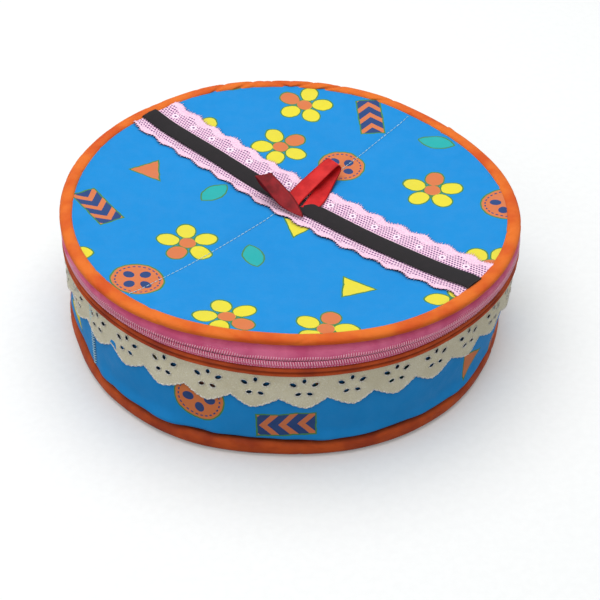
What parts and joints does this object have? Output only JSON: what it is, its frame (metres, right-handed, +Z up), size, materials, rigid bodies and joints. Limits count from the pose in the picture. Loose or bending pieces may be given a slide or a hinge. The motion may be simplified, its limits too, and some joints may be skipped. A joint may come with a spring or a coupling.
{
  "type": "insulated chapati box",
  "caption": "Round padded cloth box that keeps flatbread warm, with a dished quilted lid on a fabric hinge, a ring zip, piped edges and lace trim.",
  "frame": {"origin": "middle of the flat underside, on the surface that the box stands on", "axes": "+Z up along the axis of the drum, +Y towards the cloth hinge at the back, -Y towards the front, +X to the right as seen from the front"},
  "size_m": [0.28, 0.28, 0.0835],
  "materials": {
    "blue_cotton": "printed cotton cloth",
    "orange_bias": "bias binding",
    "foam": "polyurethane foam sheet",
    "board": "pressed board",
    "lining": "coated lining cloth",
    "cream_lace": "eyelet lace",
    "pink_tape": "woven zip tape",
    "zip_coil": "nylon coil",
    "pink_lace": "net lace",
    "black_tape": "woven tape",
    "red_satin": "satin ribbon",
    "thread": "sewing thread",
    "slider_metal": "painted die-cast zip slider"
  },
  "bodies": {
    "base": {"base_bottom_cover": "blue_cotton", "base_bottom_board": "board", "base_bottom_foam": "foam", "base_bottom_lining": "lining", "base_side_cover": "blue_cotton", "base_side_foam": "foam", "base_side_lining": "lining", "bottom_binding": "orange_bias", "rim_binding": "orange_bias", "eyelet_lace": "cream_lace", "lower_zip_tape": "pink_tape", "lower_zip_teeth": "zip_coil", "zip_start_tape": "pink_tape", "zip_start_teeth": "zip_coil", "hinge_panel": "blue_cotton"},
    "lid": {"lid_top_cover": "blue_cotton", "lid_foam": "foam", "lid_lining": "lining", "lid_binding": "orange_bias", "lid_lace": "pink_lace", "lid_strap": "black_tape", "red_ribbon": "red_satin", "lid_topstitch": "thread", "upper_zip_tape": "pink_tape", "upper_zip_teeth": "zip_coil"},
    "slider": {"slider_body": "slider_metal", "slider_bail": "slider_metal"},
    "pull_tab": {"pull_tab": "slider_metal"}
  },
  "joints": [
    {"name": "lid_hinge", "type": "hinge", "parent": "base", "child": "lid", "pos_m": [0, 0.1415, 0.0711], "axis": [-1, 0, 0], "range_deg": [0, 180], "deforming": ["hinge_panel"]},
    {"name": "slider_travel", "type": "hinge", "parent": "base", "child": "slider", "pos_m": [0, 0, 0.0711], "axis": [0, 0, -1], "range_deg": [0, 327]},
    {"name": "pull_tab_swing", "type": "hinge", "parent": "slider", "child": "pull_tab", "pos_m": [0.04137, 0.13532, 0.0711], "axis": [0.9563, -0.2924, 0], "range_deg": [0, 150]}
  ]
}
